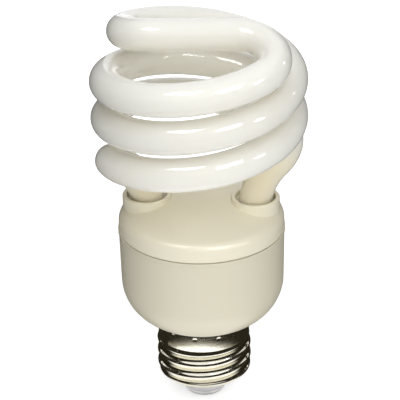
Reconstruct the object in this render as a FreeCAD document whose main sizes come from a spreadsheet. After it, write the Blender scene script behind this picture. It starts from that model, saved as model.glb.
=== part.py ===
"""Spiral energy saving bulb on a screw cap: a coiled tube, its holder, the ballast and the cap.

Millimetres, +Z up. The origin is the middle of the centre contact's lowest face, and Z is the lamp's axis.
"""

import FreeCAD, Part
import math
import os
import re

import Sketcher

Vector = FreeCAD.Vector
LEFT = 1
RIGHT = -1

# Driving dimensions: alias, value, what it measures
SIZES = [
    # Coiled tube
    ("tube_diameter", 9.0, "outside of the glass tube"),
    ("spiral_radius", 24.55, "axis to the tube's centreline"),
    ("spiral_lead", 21.4, "rise of one arm in a full turn"),
    ("spiral_turns", 1, "whole turns of one arm below its lobe"),
    ("start_angle", 26.5, "where an arm joins the spiral, from its leg"),
    ("bridge_turn", 4.0, "bridge turned from the line through the legs"),
    ("lobe_radius", 10.2, "bend that turns an arm into the bridge"),
    ("lobe_rise", 4.6, "climb of the centreline through that bend"),
    ("leg_radius", 14.8, "axis to a leg of the tube"),
    ("leg_depth", 8.0, "leg below the rim of its collar"),
    ("ankle_rise", 4.6, "corner of the leg's lower bend above the rim"),
    ("knee_reach", 7.0, "half length of the leg's upper bend"),
    ("knee_slope", 0.78, "climb of the leg between its bends"),
    # Tube holder
    ("dome_radius", 60.0, "crown of the holder"),
    ("dome_height", 8.9, "crown above the seam"),
    ("dome_wall", 1.6, "wall of the crown"),
    ("dome_shoulder", 3.0, "rounding at the crown's edge"),
    ("collar_stand", 0.4, "collar's rim above the crown"),
    ("collar_gap", 0.95, "tube to collar, all round"),
    ("collar_wall", 1.2, "wall of a collar"),
    ("collar_round", 0.4, "rounding of a collar's rim"),
    ("cement_depth", 6.8, "height of the cement in a collar"),
    # Ballast housing
    ("lip_radius", 22.85, "housing at the seam"),
    ("lip_step", 0.25, "holder set back from the lip"),
    ("lip_height", 0.9, "raised edge of the lip"),
    ("lip_proud", 0.2, "that edge outside the wall below it"),
    ("lip_wall", 1.0, "wall of the lip"),
    ("seam_gap", 0.25, "open joint between lip and holder"),
    ("skirt_depth", 4.0, "holder's skirt below the seam"),
    ("skirt_wall", 1.2, "wall of the skirt"),
    ("foot_radius", 22.35, "housing where its wall meets the bowl"),
    ("bowl_radius", 12.4, "rounding of the housing's bottom"),
    ("housing_height", 27.3, "top of the cap to the seam"),
    ("base_step", 0.3, "housing's bottom rim outside the cap"),
    ("neck_length", 6.5, "housing's neck inside the cap"),
    ("neck_wall", 1.25, "wall of the neck"),
    ("fit_gap", 0.05, "clearance of pieces that fit together"),
    # Screw cap
    ("shell_radius", 12.65, "middle of the thread, and the plain band"),
    ("shell_wall", 0.4, "sheet of the plain band"),
    ("thread_pitch", 3.629, "seven threads to the inch"),
    ("thread_depth", 0.38, "crest above the middle of the thread"),
    ("thread_count", 3, "crests of the thread"),
    ("thread_foot", 7.9, "lowest crest's lower edge above the contact's face"),
    ("band_length", 7.4, "plain band above the thread"),
    ("rim_bore", 10.6, "hole in the cap's turned-in lower rim"),
    ("rim_drop", 1.5, "lower rim below the thread"),
    ("rim_bend", 2.3, "rounding of the lower rim"),
    ("contact_radius", 5.7, "centre contact"),
    ("contact_face", 3.9, "flat of the centre contact"),
    ("contact_height", 1.8, "thickness of the centre contact"),
    ("contact_edge", 0.5, "upright edge of the centre contact"),
    ("eyelet_radius", 1.6, "eyelet of the contact"),
    ("eyelet_height", 6.4, "top of the eyelet"),
    ("solder_height", 0.9, "solder that closes the eyelet"),
    ("insulator_floor", 3.9, "insulator's web above the contact"),
    ("insulator_flange", 2.0, "insulator's flange above the lower rim"),
    ("insulator_wall", 2.4, "insulator's flange, across"),
    ("insulator_well", 5.2, "flat floor of the insulator's well"),
    # Ballast
    ("board_drop", 4.6, "board's top below the seam"),
    ("board_thickness", 1.6, "circuit board"),
    ("board_gap", 0.15, "board to housing"),
    ("rib_depth", 1.8, "ribs that carry the board, inwards"),
    ("rib_width", 1.5, "ribs that carry the board, along the wall"),
    ("rib_height", 9.0, "ribs that carry the board, upwards"),
    ("rib_root", 0.5, "ribs into the housing's wall"),
    ("rib_count", 4, "ribs that carry the board"),
    ("wire_radius", 0.35, "bare wires"),
    ("pin_side", 0.8, "square wrap pins"),
    ("pin_height", 3.9, "wrap pins above the board"),
    ("pin_offset", 1.8, "tube wires from the middle of their leg"),
    ("can_radius", 5.0, "smoothing capacitor"),
    ("can_height", 16.0, "smoothing capacitor"),
    ("can_across", -8.0, "smoothing capacitor's place, X"),
    ("can_along", -6.5, "smoothing capacitor's place, Y"),
    ("can_bead", 0.45, "depth of the crimp round the capacitor's can"),
    ("can_crimp", 1.8, "that crimp below the board"),
    ("core_width", 16.0, "choke's core, X"),
    ("core_height", 14.0, "choke's core, Z"),
    ("core_depth", 5.0, "choke's core, Y"),
    ("core_yoke", 2.5, "choke's upper and lower bars"),
    ("core_leg", 2.2, "choke's outer legs"),
    ("core_middle", 4.0, "choke's middle leg"),
    ("core_along", 9.6, "choke's place, Y"),
    ("spool_wall", 0.6, "choke's spool"),
    ("winding_depth", 2.0, "choke's winding on its spool"),
    ("film_width", 10.0, "resonance capacitor, X"),
    ("film_depth", 4.5, "resonance capacitor, Y"),
    ("film_height", 9.0, "resonance capacitor, Z"),
    ("film_across", 10.5, "resonance capacitor's place, X"),
    ("film_along", -5.0, "resonance capacitor's place, Y"),
    ("film_round", 0.8, "rounding of the film capacitors"),
    ("block_width", 8.0, "blocking capacitor, X"),
    ("block_depth", 4.0, "blocking capacitor, Y"),
    ("block_height", 8.0, "blocking capacitor, Z"),
    ("block_across", 8.6, "blocking capacitor's place, X"),
    ("block_along", -11.6, "blocking capacitor's place, Y"),
    ("case_width", 7.8, "transistor's case, Y"),
    ("case_depth", 2.7, "transistor's case, X"),
    ("case_height", 10.0, "transistor's case, Z"),
    ("case_across", 14.6, "transistors' place, X"),
    ("case_along", 3.6, "transistors' place, Y"),
    ("case_legs", 2.4, "transistor's legs under the board"),
    ("case_pitch", 2.3, "transistor's legs apart"),
    ("ring_radius", 4.6, "drive transformer's ring"),
    ("ring_bore", 2.5, "hole of that ring"),
    ("ring_depth", 3.0, "thickness of that ring"),
    ("ring_across", -10.8, "drive transformer's place, X"),
    ("ring_along", 4.2, "drive transformer's place, Y"),
    ("coil_angle", 50.0, "stretch of the ring under one of its coils"),
    ("coil_wire", 0.45, "wire of those coils"),
    ("drum_radius", 4.0, "filter coil's flanges"),
    ("drum_hub", 2.0, "filter coil's hub"),
    ("drum_height", 9.0, "filter coil"),
    ("drum_flange", 1.2, "filter coil's flanges"),
    ("drum_across", -0.6, "filter coil's place, X"),
    ("drum_along", -12.8, "filter coil's place, Y"),
    ("drum_fill", 3.5, "outside of the filter coil's winding"),
    ("diode_length", 4.4, "rectifier diode, X"),
    ("diode_width", 2.6, "rectifier diode, Y"),
    ("diode_height", 2.1, "rectifier diode, Z"),
    ("diode_spacing", 3.1, "rectifier diodes from the axis, X"),
    ("diode_pitch", 2.3, "rectifier diodes from the axis, Y"),
    ("fuse_radius", 1.6, "fusible resistor"),
    ("fuse_length", 8.0, "fusible resistor"),
    ("fuse_foot", 12.0, "fusible resistor above the contact's face"),
    ("sleeve_wall", 0.4, "sleeve on the fusible resistor"),
    ("sleeve_spare", 1.0, "sleeve past each end of the resistor"),
    ("shell_wire_angle", 20.0, "direction of the cap's side wire"),
    ("shell_wire_gap", 0.3, "side wire to the neck"),
    ("shell_wire_drop", 2.2, "side wire below the neck"),
]

DOC = FreeCAD.newDocument("spiral_bulb")
SHEET = DOC.addObject("Spreadsheet::Sheet", "sizes")
NODES = []


def fill_sheet():
    """Writes each driving dimension into the sheet with its alias."""
    for row, (alias, size, meaning) in enumerate(SIZES, start=1):
        SHEET.set(f"A{row}", meaning)
        SHEET.set(f"B{row}", str(size))
        SHEET.setAlias(f"B{row}", alias)
    DOC.recompute()


def linked(text):
    """An expression in which each alias names its cell in the sheet."""
    return re.sub(r"\b[a-z]+_[a-z_]+\b", lambda found: "sizes." + found.group(), text)


def value(text):
    """The number that an expression has now."""
    return float(SHEET.evalExpression(linked(text)))


def bind(target, **expressions):
    """Binds properties of an object to the sheet; x, y and z stand for its place."""
    for name, text in expressions.items():
        place = f"Placement.Base.{name}" if name in ("x", "y", "z") else name
        target.setExpression(place, linked(text))


def keep(label, target):
    """Names a finished sub-part and puts it on the list of nodes."""
    target.Label = label
    NODES.append(target)
    return target


# Heights along the axis, as expressions of the driving dimensions
RIM_FOOT = "(thread_foot - rim_drop)"
THREAD_TOP = "(thread_foot + (thread_count - 0.5) * thread_pitch)"
CAP_TOP = f"({THREAD_TOP} + band_length)"
SEAM = f"({CAP_TOP} + housing_height)"
CROWN = f"({SEAM} + dome_height)"
COLLAR_RIM = f"({CROWN} + collar_stand)"
LEG_FOOT = f"({COLLAR_RIM} - leg_depth)"
LEDGE = f"({SEAM} - skirt_depth)"
BOARD_TOP = f"({SEAM} - board_drop)"
BOARD_FOOT = f"({BOARD_TOP} - board_thickness)"

# Radii that several pieces share
TUBE = "(tube_diameter / 2)"
COLLAR_BORE = f"({TUBE} + collar_gap)"
COLLAR = f"({COLLAR_BORE} + collar_wall)"
HOLDER = "(lip_radius - lip_step)"
SKIRT_BORE = "(lip_radius - lip_wall)"
SKIRT = f"({SKIRT_BORE} - fit_gap)"
CAVITY = f"({SKIRT_BORE} - skirt_wall)"
BAND_BORE = "(shell_radius - shell_wall)"
THREAD_BORE = "(shell_radius - thread_depth - shell_wall)"
NECK = f"({BAND_BORE} - fit_gap)"
NECK_BORE = f"({NECK} - neck_wall)"
NECK_FOOT = f"({CAP_TOP} - neck_length)"
BOARD = f"({CAVITY} - board_gap)"


def plane_of(body, role):
    """One of a body's own origin planes."""
    return [feature for feature in body.Origin.OriginFeatures if feature.Role == role][0]


def arc_between(begin, end, radius, side):
    """Minor arc from begin to end whose centre lies on the given side of the way there."""
    chord = end - begin
    normal = Vector(-chord.y, chord.x, 0).normalize() * side
    centre = (begin + end) / 2 + normal * math.sqrt(radius**2 - (chord.Length / 2) ** 2)
    first, last = (begin, end) if side == LEFT else (end, begin)
    angles = [math.atan2(point.y - centre.y, point.x - centre.x) for point in (first, last)]
    circle = Part.Circle(centre, Vector(0, 0, 1), radius)
    return Part.ArcOfCircle(circle, angles[0], angles[1])


def pin_point(sketch, geometry, position, name, across, up):
    """Ties a point of a sketch to its two expressions, or to an axis where it is zero."""
    for kind, axis, text in (("DistanceX", -2, across), ("DistanceY", -1, up)):
        if text == "0":
            sketch.addConstraint(Sketcher.Constraint("PointOnObject", geometry, position, axis))
            continue
        number = sketch.addConstraint(Sketcher.Constraint(kind, -1, 1, geometry, position, value(text)))
        sketch.renameConstraint(number, f"{name}_{kind}")
        sketch.setExpression(f"Constraints.{name}_{kind}", linked(text))


def section(body, name, corners):
    """Closed half section in the XZ plane. A corner is (across, up), with (radius, side) for an arc to the next."""
    sketch = body.newObject("Sketcher::SketchObject", name)
    sketch.AttachmentSupport = [(plane_of(body, "XZ_Plane"), "")]
    sketch.MapMode = "FlatFace"
    places = [Vector(value(corner[0]), value(corner[1]), 0) for corner in corners]
    ends = []
    for index, corner in enumerate(corners):
        begin = places[index]
        end = places[(index + 1) % len(places)]
        if len(corner) == 2:
            sketch.addGeometry(Part.LineSegment(begin, end))
            ends.append((1, 2))
            continue
        text, side = corner[2]
        sketch.addGeometry(arc_between(begin, end, value(text), side))
        ends.append((1, 2) if side == LEFT else (2, 1))
    for index, (_, last) in enumerate(ends):
        following = (index + 1) % len(ends)
        sketch.addConstraint(Sketcher.Constraint("Coincident", index, last, following, ends[following][0]))
    for index, corner in enumerate(corners):
        pin_point(sketch, index, ends[index][0], f"corner{index}", corner[0], corner[1])
        if len(corner) == 3:
            number = sketch.addConstraint(Sketcher.Constraint("Radius", index, value(corner[2][0])))
            sketch.renameConstraint(number, f"arc{index}")
            sketch.setExpression(f"Constraints.arc{index}", linked(corner[2][0]))
    return sketch


def turned(label, corners):
    """A body of revolution about Z from its half section."""
    body = keep(label, DOC.addObject("PartDesign::Body", label))
    sketch = section(body, f"{label}_section", corners)
    revolution = body.newObject("PartDesign::Revolution", f"{label}_turned")
    revolution.Profile = sketch
    revolution.ReferenceAxis = (sketch, ["V_Axis"])
    revolution.Angle = 360
    DOC.recompute()
    return body


def circles_on(body, name, height, places, radius):
    """Level sketch at a height with one circle at each place, all of one radius."""
    sketch = body.newObject("Sketcher::SketchObject", name)
    sketch.AttachmentSupport = [(plane_of(body, "XY_Plane"), "")]
    sketch.MapMode = "FlatFace"
    sketch.setExpression("AttachmentOffset.Base.z", linked(height))
    for index, (side, text) in enumerate(places):
        centre = Vector(side * value(text), 0, 0)
        sketch.addGeometry(Part.Circle(centre, Vector(0, 0, 1), value(radius)))
        sketch.addConstraint(Sketcher.Constraint("PointOnObject", index, 3, -1))
        ordered = (-1, 1, index, 3) if side > 0 else (index, 3, -1, 1)
        place = sketch.addConstraint(Sketcher.Constraint("DistanceX", *ordered, value(text)))
        sketch.renameConstraint(place, f"place{index}")
        sketch.setExpression(f"Constraints.place{index}", linked(text))
        size = sketch.addConstraint(Sketcher.Constraint("Radius", index, value(radius)))
        sketch.renameConstraint(size, f"radius{index}")
        sketch.setExpression(f"Constraints.radius{index}", linked(radius))
    return sketch


# Two sizes nearer than this are the same, in millimetres
SAME_PLACE = 1e-4


def ring_edges(shape, height, radius):
    """Names of a shape's circular edges of one radius at one height."""
    names = []
    for number, edge in enumerate(shape.Edges, start=1):
        if edge.Degenerated or not isinstance(edge.Curve, Part.Circle):
            continue
        curve = edge.Curve
        if abs(curve.Radius - radius) < SAME_PLACE and abs(curve.Center.z - height) < SAME_PLACE:
            names.append(f"Edge{number}")
    return names


def rounded(body, name, edges, radius):
    """Rounds edges of a body's last feature."""
    base = body.Tip
    fillet = body.newObject("PartDesign::Fillet", name)
    fillet.Base = (base, edges)
    fillet.setExpression("Radius", linked(radius))
    DOC.recompute()


def rod(name, radius, height, x, y, z):
    """Upright cylinder on its foot."""
    cylinder = DOC.addObject("Part::Cylinder", name)
    bind(cylinder, Radius=radius, Height=height, x=x, y=y, z=z)
    return cylinder


def block(name, length, width, height, x, y, z):
    """Box centred on x and y, with its lowest face at z."""
    box = DOC.addObject("Part::Box", name)
    bind(box, Length=length, Width=width, Height=height, x=f"{x} - ({length}) / 2", y=f"{y} - ({width}) / 2", z=z)
    return box


def group(label, pieces):
    """Separate solids of one kind in one node."""
    compound = keep(label, DOC.addObject("Part::Compound", label))
    compound.Links = pieces
    return compound


def cut(name, base, tool):
    """One solid less another."""
    result = DOC.addObject("Part::Cut", name)
    result.Base = base
    result.Tool = tool
    return result


def joined(name, pieces):
    """Several touching solids as one piece."""
    result = DOC.addObject("Part::MultiFuse", name)
    result.Shapes = pieces
    return result


def rounded_path(corners):
    """Straight runs joined by tangent arcs. A corner is (point, reach of its arc along each run)."""
    edges = []
    start = corners[0][0]
    for (before, _), (corner, reach), (after, _) in zip(corners, corners[1:], corners[2:]):
        back = (before - corner).normalize()
        ahead = (after - corner).normalize()
        half = back.getAngle(ahead) / 2
        inward = (back + ahead).normalize()
        centre = corner + inward * (reach / math.cos(half))
        middle = centre - inward * (reach * math.tan(half))
        begin = corner + back * reach
        end = corner + ahead * reach
        edges.append(Part.LineSegment(start, begin).toShape())
        edges.append(Part.Arc(begin, middle, end).toShape())
        start = end
    edges.append(Part.LineSegment(start, corners[-1][0]).toShape())
    return Part.Wire(edges)


def bend_corners(centre, radius, first, sweep, pieces, height):
    """Corners of a level or climbing bend cut into equal arcs; height gives Z from the share of the bend."""
    step = sweep / pieces
    reach = radius * math.tan(math.radians(step / 2))
    corners = []
    for index in range(pieces):
        share = (index + 0.5) / pieces
        angle = math.radians(first + sweep * share)
        spoke = radius / math.cos(math.radians(step / 2))
        point = Vector(centre.x + spoke * math.cos(angle), centre.y + spoke * math.sin(angle), height(share))
        corners.append((point, reach))
    return corners


# Arcs stop a little short of each other, so that a straight run is left between them
ARC_SHARE = 0.97
# Largest turn of the path that one arc of the spiral or of a lobe takes, in degrees
ARC_TURN = 46
# Share by which a swept tube's volume may differ from its section times its length
VOLUME_SPARE = 0.001


def arm_corners():
    """Corners of one arm of the tube, from its foot in the collar up to the bridge."""
    radius = value("spiral_radius")
    lobe = value("lobe_radius")
    lead = value("spiral_lead")
    start = value("start_angle")
    # The lobe touches the spiral's circle from inside, and the bridge's line through the axis
    bridge = value("bridge_turn")
    joint = 180 + bridge - math.degrees(math.asin(lobe / (radius - lobe)))
    lobe_centre = Vector(math.cos(math.radians(joint)), math.sin(math.radians(joint)), 0) * (radius - lobe)
    sweep = 360 * value("spiral_turns") + joint - start

    # Leg: up out of the collar, out to the knee, then along the spiral's first tangent
    tangent = Vector(-math.sin(math.radians(start)), math.cos(math.radians(start)), 0)
    joined_at = Vector(radius * math.cos(math.radians(start)), radius * math.sin(math.radians(start)), 0)
    reach = value("knee_reach")
    leg = Vector(value("leg_radius"), 0, 0)
    knee = joined_at - tangent * reach
    ankle_height = value(f"{COLLAR_RIM} + ankle_rise")
    knee_height = ankle_height + (knee - leg).Length * value("knee_slope")
    start_height = knee_height + reach * lead / (2 * math.pi * radius)
    lobe_height = start_height + lead * sweep / 360
    rise = value("lobe_rise")
    # The lower bend takes what the upper one leaves of the run between them
    run = math.hypot((knee - leg).Length, knee_height - ankle_height)

    corners = [
        (leg + Vector(0, 0, value(LEG_FOOT)), 0),
        (leg + Vector(0, 0, ankle_height), run - reach),
        (knee + Vector(0, 0, knee_height), reach),
    ]
    pieces = math.ceil(sweep / ARC_TURN)
    corners += bend_corners(
        Vector(0, 0, 0), radius, start, sweep, pieces, lambda share: start_height + share * lead * sweep / 360
    )
    lobe_sweep = 270 + bridge - joint
    pieces = math.ceil(lobe_sweep / ARC_TURN)
    corners += bend_corners(
        lobe_centre, lobe, joint, lobe_sweep, pieces, lambda share: lobe_height + rise * share * (2 - share)
    )
    return [(point, reach * ARC_SHARE) for point, reach in corners]


def make_tube():
    """The coiled tube: two equal arms half a turn apart, joined by a straight bridge on top."""
    arm = arm_corners()
    other = [(Vector(-point.x, -point.y, point.z), reach) for point, reach in reversed(arm)]
    path = DOC.addObject("Part::Feature", "tube_path")
    path.Shape = rounded_path(arm + other)
    ring = DOC.addObject("Part::Circle", "tube_section")
    bind(ring, Radius=TUBE, x="leg_radius", z=LEG_FOOT)
    DOC.recompute()
    tube = keep("discharge_tube", DOC.addObject("Part::Sweep", "discharge_tube"))
    tube.Sections = [ring]
    tube.Spine = (path, [f"Edge{number + 1}" for number in range(len(path.Shape.Edges))])
    tube.Solid = True
    tube.Frenet = False
    tube.Transition = "Transformed"
    DOC.recompute()
    expected = math.pi * value(TUBE) ** 2 * path.Shape.Length
    if abs(tube.Shape.Volume - expected) > VOLUME_SPARE * expected:
        raise RuntimeError(f"tube volume {tube.Shape.Volume:.0f}, expected {expected:.0f}")


def make_holder():
    """Domed tube holder: crown, skirt and the two collars that the tube stands in."""
    inner_crown = "(dome_radius - dome_wall)"
    ball = f"({CROWN} - dome_radius)"
    edge = f"({ball} + sqrt(dome_radius ^ 2 - {HOLDER} ^ 2))"
    inner_edge = f"({ball} + sqrt({inner_crown} ^ 2 - {CAVITY} ^ 2))"
    holder = turned(
        "tube_holder",
        [
            (CAVITY, LEDGE),
            (SKIRT, LEDGE),
            (SKIRT, f"{SEAM} + seam_gap"),
            (HOLDER, f"{SEAM} + seam_gap"),
            (HOLDER, edge, ("dome_radius", LEFT)),
            ("0", CROWN),
            ("0", f"{CROWN} - dome_wall", (inner_crown, RIGHT)),
            (CAVITY, inner_edge),
        ],
    )
    rounded(holder, "crown_shoulder", ring_edges(holder.Shape, value(edge), value(HOLDER)), "dome_shoulder")
    places = [(1, "leg_radius"), (-1, "leg_radius")]
    collars = holder.newObject("PartDesign::Pad", "collars")
    collars.Profile = circles_on(holder, "collar_outline", LEG_FOOT, places, COLLAR)
    bind(collars, Length="leg_depth")
    DOC.recompute()
    before = holder.Shape.Volume
    bores = holder.newObject("PartDesign::Pocket", "collar_bores")
    bores.Profile = circles_on(holder, "bore_outline", COLLAR_RIM, places, COLLAR_BORE)
    bind(bores, Length="leg_depth")
    DOC.recompute()
    if holder.Shape.Volume > before - 1:
        raise RuntimeError("the collars' bores cut nothing")
    rim = value(COLLAR_RIM)
    edges = ring_edges(holder.Shape, rim, value(COLLAR)) + ring_edges(holder.Shape, rim, value(COLLAR_BORE))
    rounded(holder, "collar_rims", edges, "collar_round")


def make_cement():
    """Cement that holds the tube's two ends in their collars."""
    rings = []
    for side in (1, -1):
        place = f"{side} * leg_radius"
        outside = rod(f"cement_fill{side}", COLLAR_BORE, "cement_depth", place, "0", LEG_FOOT)
        inside = rod(f"cement_hole{side}", TUBE, "cement_depth", place, "0", LEG_FOOT)
        rings.append(cut(f"cement_ring{side}", outside, inside))
    group("tube_cement", rings)


def make_housing():
    """Ballast housing: tapered wall on a bowl, with a neck for the cap and ribs for the board."""
    centre_radius = "(foot_radius - bowl_radius)"
    base = "(shell_radius + base_step)"
    bowl_height = f"({CAP_TOP} + sqrt(bowl_radius ^ 2 - ({base} - {centre_radius}) ^ 2))"
    inner_bowl = f"({CAVITY} - {centre_radius})"
    floor = f"({bowl_height} - sqrt({inner_bowl} ^ 2 - ({NECK_BORE} - {centre_radius}) ^ 2))"
    housing = turned(
        "ballast_housing",
        [
            (NECK_BORE, NECK_FOOT),
            (NECK, NECK_FOOT),
            (NECK, CAP_TOP),
            (base, CAP_TOP, ("bowl_radius", LEFT)),
            ("foot_radius", bowl_height),
            ("lip_radius - lip_proud", f"{SEAM} - lip_height"),
            ("lip_radius", f"{SEAM} - lip_height + lip_proud"),
            ("lip_radius", SEAM),
            (SKIRT_BORE, SEAM),
            (SKIRT_BORE, LEDGE),
            (CAVITY, LEDGE),
            (CAVITY, bowl_height, (inner_bowl, RIGHT)),
            (NECK_BORE, floor),
        ],
    )
    sketch = housing.newObject("Sketcher::SketchObject", "rib_outline")
    sketch.AttachmentSupport = [(plane_of(housing, "XY_Plane"), "")]
    sketch.MapMode = "FlatFace"
    sketch.setExpression("AttachmentOffset.Base.z", linked(f"{BOARD_FOOT} - rib_height"))
    inner = f"({CAVITY} - rib_depth)"
    outer = f"({CAVITY} + rib_root)"
    corners = [(inner, -1), (outer, -1), (outer, 1), (inner, 1)]
    places = [Vector(value(across), side * value("rib_width") / 2, 0) for across, side in corners]
    for index in range(4):
        sketch.addGeometry(Part.LineSegment(places[index], places[(index + 1) % 4]))
    for index in range(4):
        sketch.addConstraint(Sketcher.Constraint("Coincident", index, 2, (index + 1) % 4, 1))
    for index, (across, side) in enumerate(corners):
        number = sketch.addConstraint(Sketcher.Constraint("DistanceX", -1, 1, index, 1, value(across)))
        sketch.renameConstraint(number, f"across{index}")
        sketch.setExpression(f"Constraints.across{index}", linked(across))
        ordered = (-1, 1, index, 1) if side > 0 else (index, 1, -1, 1)
        number = sketch.addConstraint(Sketcher.Constraint("DistanceY", *ordered, value("rib_width / 2")))
        sketch.renameConstraint(number, f"along{index}")
        sketch.setExpression(f"Constraints.along{index}", linked("rib_width / 2"))
    rib = housing.newObject("PartDesign::Pad", "board_rib")
    rib.Profile = sketch
    bind(rib, Length="rib_height")
    DOC.recompute()
    ribs = housing.newObject("PartDesign::PolarPattern", "board_ribs")
    ribs.Originals = [rib]
    ribs.Axis = (sketch, ["N_Axis"])
    ribs.Angle = 360
    bind(ribs, Occurrences="rib_count")
    housing.Tip = ribs
    DOC.recompute()


def make_cap():
    """Screw cap: rolled shell, insulator and centre contact."""
    bulge = "((thread_pitch / 4) ^ 2 + thread_depth ^ 2) / (2 * thread_depth)"
    waves = []
    half_turns = 2 * int(value("thread_count")) - 1
    for index in range(half_turns):
        side = LEFT if index % 2 == 0 else RIGHT
        waves.append(("shell_radius", f"thread_foot + {index} * thread_pitch / 2", (bulge, side)))
    turned(
        "screw_shell",
        [
            ("rim_bore", RIM_FOOT, ("rim_bend", LEFT)),
            *waves,
            ("shell_radius", THREAD_TOP),
            ("shell_radius", CAP_TOP),
            (BAND_BORE, CAP_TOP),
            (BAND_BORE, f"{THREAD_TOP} + shell_wall"),
            (THREAD_BORE, THREAD_TOP),
            (THREAD_BORE, "thread_foot"),
            ("rim_bore", f"{RIM_FOOT} + shell_wall"),
        ],
    )
    hole = "(rim_bore - fit_gap)"
    flange = f"({THREAD_BORE} - fit_gap)"
    turned(
        "cap_insulator",
        [
            ("eyelet_radius", "contact_height"),
            ("contact_radius", "contact_height"),
            (hole, RIM_FOOT),
            (hole, "thread_foot"),
            (flange, "thread_foot"),
            (flange, "thread_foot + insulator_flange"),
            (f"{flange} - insulator_wall", "thread_foot + insulator_flange"),
            ("insulator_well", "contact_height + insulator_floor"),
            ("eyelet_radius", "contact_height + insulator_floor"),
        ],
    )
    rise = "(contact_height - contact_edge)"
    rounding = f"((contact_radius - contact_face) ^ 2 + {rise} ^ 2) / (2 * {rise})"
    turned(
        "centre_contact",
        [
            ("0", "0"),
            ("contact_face", "0", (rounding, LEFT)),
            ("contact_radius", rise),
            ("contact_radius", "contact_height"),
            ("eyelet_radius", "contact_height"),
            ("eyelet_radius", "eyelet_height"),
            ("wire_radius + fit_gap", "eyelet_height"),
            ("wire_radius + fit_gap", "solder_height"),
            ("0", "solder_height"),
        ],
    )


def make_board():
    """Circuit board on the housing's ribs, with the pins and wires that reach the tube's ends."""
    keep("ballast_board", rod("ballast_board", BOARD, "board_thickness", "0", "0", BOARD_FOOT))
    pins = []
    wires = []
    for leg in (1, -1):
        for side in (1, -1):
            place = f"{leg} * (leg_radius + {side} * pin_offset)"
            name = f"{'right' if leg > 0 else 'left'}_{'outer' if side > 0 else 'inner'}"
            pins.append(block(f"pin_{name}", "pin_side", "pin_side", "pin_height", place, "0", BOARD_TOP))
            top = f"({BOARD_TOP} + pin_height)"
            wires.append(rod(f"wire_{name}", "wire_radius", f"{LEG_FOOT} - {top}", place, "0", top))
    group("wrap_pins", pins)
    group("tube_wires", wires)


def make_choke():
    """Ballast choke under the board: core, spool and winding."""
    foot = f"({BOARD_FOOT} - core_height)"
    inside = f"({foot} + core_yoke)"
    window = "(core_height - 2 * core_yoke)"
    opening = "(core_width - 2 * core_leg)"
    frame = block("core_frame", "core_width", "core_depth", "core_height", "0", "core_along", foot)
    hole = block("core_window", opening, "core_depth", window, "0", "core_along", inside)
    middle = block("core_post", "core_middle", "core_depth", window, "0", "core_along", inside)
    keep("choke_core", joined("choke_core", [cut("core_outline", frame, hole), middle]))

    hub_width = "(core_middle + 2 * fit_gap + 2 * spool_wall)"
    hub_depth = "(core_depth + 2 * fit_gap + 2 * spool_wall)"
    height = f"({window} - 2 * fit_gap)"
    bottom = f"({inside} + fit_gap)"
    flange_width = f"({opening} - 2 * fit_gap)"
    flange_depth = f"({hub_depth} + 2 * winding_depth + spool_wall)"
    hub = block("spool_hub", hub_width, hub_depth, height, "0", "core_along", bottom)
    lower = block("spool_lower", flange_width, flange_depth, "spool_wall", "0", "core_along", bottom)
    top = f"({bottom} + {height} - spool_wall)"
    upper = block("spool_upper", flange_width, flange_depth, "spool_wall", "0", "core_along", top)
    post = block(
        "spool_hole", "core_middle + 2 * fit_gap", "core_depth + 2 * fit_gap", height, "0", "core_along", bottom
    )
    keep("choke_spool", cut("choke_spool", joined("spool_outline", [hub, lower, upper]), post))

    wound = f"({height} - 2 * spool_wall)"
    wound_foot = f"({bottom} + spool_wall)"
    outside = block(
        "winding_outline",
        f"{hub_width} + 2 * winding_depth",
        f"{hub_depth} + 2 * winding_depth",
        wound,
        "0",
        "core_along",
        wound_foot,
    )
    inner = block("winding_hole", hub_width, hub_depth, wound, "0", "core_along", wound_foot)
    keep("choke_winding", cut("choke_winding", outside, inner))


def make_coils():
    """Drive transformer's ring and the filter coil, both under the board."""
    centre = f"({BOARD_FOOT} - ring_radius)"
    rings = []
    for name, radius in (("ring_outline", "ring_radius"), ("ring_hole", "ring_bore")):
        cylinder = DOC.addObject("Part::Cylinder", name)
        cylinder.Placement.Rotation = FreeCAD.Rotation(Vector(0, 1, 0), 90)
        bind(cylinder, Radius=radius, Height="ring_depth", x="ring_across - ring_depth / 2", y="ring_along", z=centre)
        rings.append(cylinder)
    keep("drive_ring", cut("drive_ring", rings[0], rings[1]))
    windings = []
    for index, angle in enumerate(("-coil_angle / 2", "90", "270 - coil_angle")):
        turn = FreeCAD.Rotation(Vector(0, 1, 0), 90) * FreeCAD.Rotation(Vector(0, 0, 1), value(angle))
        sector = DOC.addObject("Part::Cylinder", f"coil_sector{index}")
        hole = DOC.addObject("Part::Cylinder", f"coil_hole{index}")
        for cylinder, radius in ((sector, "ring_radius + coil_wire"), (hole, "ring_bore - coil_wire")):
            cylinder.Placement.Rotation = turn
            start = "ring_across - ring_depth / 2 - coil_wire"
            bind(cylinder, Radius=radius, Height="ring_depth + 2 * coil_wire", x=start, y="ring_along", z=centre)
        bind(sector, Angle="coil_angle")
        wound = cut(f"coil_outline{index}", sector, hole)
        windings.append(cut(f"coil{index}", wound, NODES[-1]))
    group("drive_winding", windings)

    foot = f"({BOARD_FOOT} - drum_height)"
    drum = turned(
        "filter_drum",
        [
            ("0", foot),
            ("drum_radius", foot),
            ("drum_radius", f"{foot} + drum_flange"),
            ("drum_hub", f"{foot} + drum_flange"),
            ("drum_hub", f"{BOARD_FOOT} - drum_flange"),
            ("drum_radius", f"{BOARD_FOOT} - drum_flange"),
            ("drum_radius", BOARD_FOOT),
            ("0", BOARD_FOOT),
        ],
    )
    bind(drum, x="drum_across", y="drum_along")
    height = "drum_height - 2 * drum_flange"
    place = ("drum_across", "drum_along", f"{foot} + drum_flange")
    outside = rod("filter_outline", "drum_fill", height, *place)
    inside = rod("filter_hole", "drum_hub", height, *place)
    keep("filter_winding", cut("filter_winding", outside, inside))


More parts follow.
